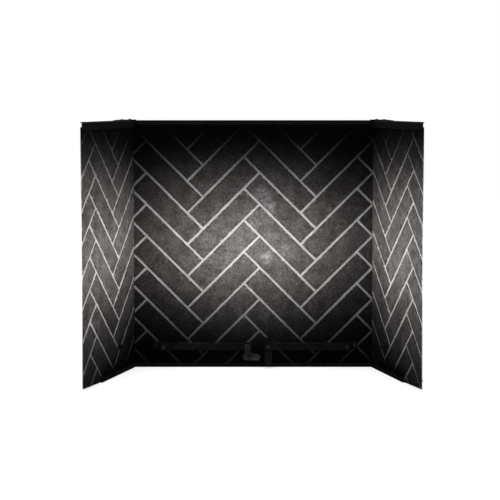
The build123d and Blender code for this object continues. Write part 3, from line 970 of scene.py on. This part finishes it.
# %% [markdown]
# The frame is folded sheet in matt black heat paint: an even skin with a fine
# orange peel, greyer where heat has worked on it, bare at rubbed edges. Rail,
# keeper, studs and fasteners are steel as well, stained, rubbed or plated, and
# painted shade darkens the rail, the keeper and the fasteners far below their
# steel; the rail is partly heat stained too. Five separate graphs would differ
# in a handful of numbers, so one function makes them all.

# %% Painted and bare steels
ash_colour = colour(0.34, 0.33, 0.315)
wear_width, wear_patchiness, bare_metal = 0.0011, 70.0, 0.9
steel_specular = 0.035


def steel_material(name, dark, light, bare, rough, metal, peel, ash):
    """Sheet steel: two tones by noise, worn edges, ash on top and a fine relief."""
    material, tree, shader = begin_material(name)
    place = object_place(tree)
    cloud = noise(tree, place, 14.0, 6.0, 0.65)
    skin = mix_colours(tree, ramp(tree, cloud, 0.35, 0.66), dark, light)
    specks = use_group(tree, grain_group, {"Place": place, "Grain": 900.0, "Contrast": 0.5})
    skin = mix_colours(tree, 1.0, skin, specks["Tone"], "MULTIPLY")
    wear = use_group(tree, wear_group, {"Width": wear_width, "Patchiness": wear_patchiness})["Wear"]
    skin = mix_colours(tree, wear, skin, bare)
    dust = use_group(tree, ash_group, {"Amount": ash})["Ash"]
    skin = mix_colours(tree, dust, skin, ash_colour)
    metallic = ramp(tree, wear, 0.0, 1.0, metal, bare_metal, smooth=False)
    metallic = product(tree, metallic, ramp(tree, dust, 0.0, 0.5, 1.0, 0.0, smooth=False))
    roughness = ramp(tree, cloud, 0.3, 0.7, rough - 0.08, rough + 0.08, smooth=False)
    fine = noise(tree, place, 1500.0, 2.0, 0.5)
    set_inputs(tree, shader, {"Base Color": skin, "Metallic": metallic, "Roughness": roughness,
                              "Normal": bumped(tree, fine, peel, 0.0004),
                              "Specular IOR Level": steel_specular})
    return material


steels = {
    "frame_steel": steel_material(
        "black_heat_paint", dark=grey(0.0012), light=colour(0.0036, 0.0034, 0.0033),
        bare=colour(0.036, 0.034, 0.032), rough=0.80, metal=0.0, peel=0.45, ash=0.08),
    # Painted shade: the rail is near-black, partly heat stain and partly painted shade.
    "rail_steel": steel_material(
        "shaded_heat_stained_rail", dark=colour(0.0010, 0.0009, 0.0009), light=colour(0.0048, 0.0042, 0.0039),
        bare=colour(0.034, 0.031, 0.028), rough=0.70, metal=0.10, peel=0.35, ash=0.06),
    # Painted shade dims the keeper's steel.
    "keeper_steel": steel_material(
        "shaded_worn_keeper", dark=colour(0.004, 0.0038, 0.0036), light=colour(0.034, 0.0322, 0.0305),
        bare=colour(0.17, 0.16, 0.15), rough=0.46, metal=0.55, peel=0.20, ash=0.04),
    "stud_steel": steel_material(
        "black_oxide_stud", dark=grey(0.002), light=colour(0.0065, 0.0062, 0.006),
        bare=colour(0.034, 0.032, 0.030), rough=0.62, metal=0.20, peel=0.50, ash=0.04),
    # Painted shade darkens the zinc of the fasteners.
    "fastener_steel": steel_material(
        "shaded_dull_zinc", dark=colour(0.007, 0.0068, 0.0066), light=colour(0.026, 0.025, 0.024),
        bare=colour(0.10, 0.095, 0.09), rough=0.54, metal=0.55, peel=0.25, ash=0.04),
}
print("steels:", ", ".join(steels))

# %% [markdown]
# The boards behind the slips are plain grey refractory board, a felt of short
# fibres in a cement. Strands could be scattered over it, but real fibres lie
# within its surface. So its face is softly clouded, with pale flecks from a wave
# texture that is bent until every fleck lies its own way.

# %% Board material
board_grey, board_pale = colour(0.36, 0.345, 0.32), colour(0.47, 0.452, 0.425)
fibre_colour = colour(0.60, 0.585, 0.56)
fibre_strength = 0.35


def board_material(name):
    """Pressed refractory board: clouds, fibres and a fine felted relief."""
    material, tree, shader = begin_material(name)
    place = object_place(tree)
    clouds = ramp(tree, noise(tree, place, 9.0, 6.0, 0.62), 0.3, 0.7)
    body = mix_colours(tree, clouds, board_grey, board_pale)
    twisted = calculate(tree, "MULTIPLY", noise(tree, place, 40.0, 2.0), 6.0)
    bands = {"Vector": place, "Scale": 170.0, "Distortion": 7.0, "Detail": 2.0, "Phase Offset": twisted}
    fibres = add_node(tree, "ShaderNodeTexWave", bands, wave_type="BANDS").outputs[1]
    flecks = ramp(tree, fibres, 0.86, 0.98, 0.0, fibre_strength)
    body = mix_colours(tree, flecks, body, fibre_colour)
    grain = use_group(tree, grain_group, {"Place": place, "Grain": 700.0, "Contrast": 0.45})
    body = mix_colours(tree, 1.0, body, grain["Tone"], "MULTIPLY")
    height = calculate(tree, "ADD", grain["Height"], flecks)
    set_inputs(tree, shader, {"Base Color": body, "Normal": bumped(tree, height, 0.4, 0.0007),
                              "Roughness": 0.92, "Specular IOR Level": 0.2})
    return material


finishes = {**steels, "board": board_material("refractory_board")}
print("finishes:", len(finishes))

# %% [markdown]
# The steel parts and the boards have their real shape in the frame already, so
# they keep their own meshes. The record names what each is made of, and its
# finish follows from that name.

# %% Finishes on the construction pieces
finished = {}
for subpart in frame["record"]["subparts"]:
    finish = finishes.get(subpart.get("material_slot"))
    if finish is None:
        continue
    node = frame["nodes"][subpart["node"]]
    if not node.material_slots:
        node.data.materials.append(finish)
    for node_slot in node.material_slots:
        node_slot.material = finish
    finished.setdefault(finish.name, []).append(node.name)
print("finishes:", {name: len(nodes) for name, nodes in finished.items()})

# %% [markdown]
# The stage is a pale floor in a white room. A curved backdrop would do as well,
# but it would throw its own shade on a lining that is open at the front. A flat
# floor takes only the contact shadow, and a little light of its own, which the
# camera alone can see, lifts it to the white of the background.

# %% Floor
floor_size, floor_glow = 14.0, 0.58
half = floor_size / 2
floor_mesh = bpy.data.meshes.new("floor")
floor_corners = [(-half, -half, 0), (half, -half, 0), (half, half, 0), (-half, half, 0)]
floor_mesh.from_pydata(floor_corners, [], [(0, 1, 2, 3)])
floor = bpy.data.objects.new("floor", floor_mesh)
bpy.context.scene.collection.objects.link(floor)

floor_material, tree, shader = begin_material("pale_floor")
to_camera = add_node(tree, "ShaderNodeLightPath").outputs["Is Camera Ray"]
set_inputs(tree, shader, {"Base Color": grey(0.90), "Roughness": 0.9, "Specular IOR Level": 0.1,
                          "Emission Color": grey(1.0),
                          "Emission Strength": product(tree, to_camera, floor_glow)})
floor_mesh.materials.append(floor_material)
print("floor of", floor_size, "m")

# %% [markdown]
# The world gives soft even light from everywhere. Bright enough to be a white
# background, it would wash the soot out, so it is white only to rays that come
# from the camera, from reflections or through glass, and plain grey to the rest.

# %% World
soft_level = 0.48

world = bpy.data.worlds.new("studio")
world.use_nodes = True
bpy.context.scene.world = world
tree = world.node_tree
path = add_node(tree, "ShaderNodeLightPath").outputs
seen = strongest(tree, [path["Is Camera Ray"], path["Is Transmission Ray"], path["Is Glossy Ray"]])
strength = ramp(tree, seen, 0.0, 1.0, soft_level, 1.0, smooth=False)
set_inputs(tree, tree.nodes["Background"], {"Color": grey(1.0), "Strength": strength})
print("world light at", soft_level)


# %% [markdown]
# Two lamps in front of the lining model its relief. Small ones would show it
# more sharply, with a hard line in every joint. Broad ones, over two metres
# wide, shade it as a studio's soft boxes do.

# %% Lamps
def add_lamp(name, place, aim, size, watts):
    """A broad square lamp at a place, turned to face an aim."""
    data = bpy.data.lights.new(name, "AREA")
    data.energy = watts
    data.size = size
    lamp = bpy.data.objects.new(name, data)
    lamp.location = place
    toward = np.array(aim) - np.array(place)
    level = math.hypot(toward[0], toward[1])
    lamp.rotation_euler = (math.atan2(level, -toward[2]), 0, math.atan2(toward[1], toward[0]) - math.pi / 2)
    bpy.context.scene.collection.objects.link(lamp)


lining_middle = (0.0, -0.1, 0.35)
add_lamp("key", (-1.6, -3.0, 2.3), lining_middle, size=2.2, watts=73)
add_lamp("fill", (1.9, -2.8, 1.5), lining_middle, size=2.4, watts=46)
bpy.context.scene.view_settings.view_transform = "Standard"
print("lamps:", len(bpy.data.lights))
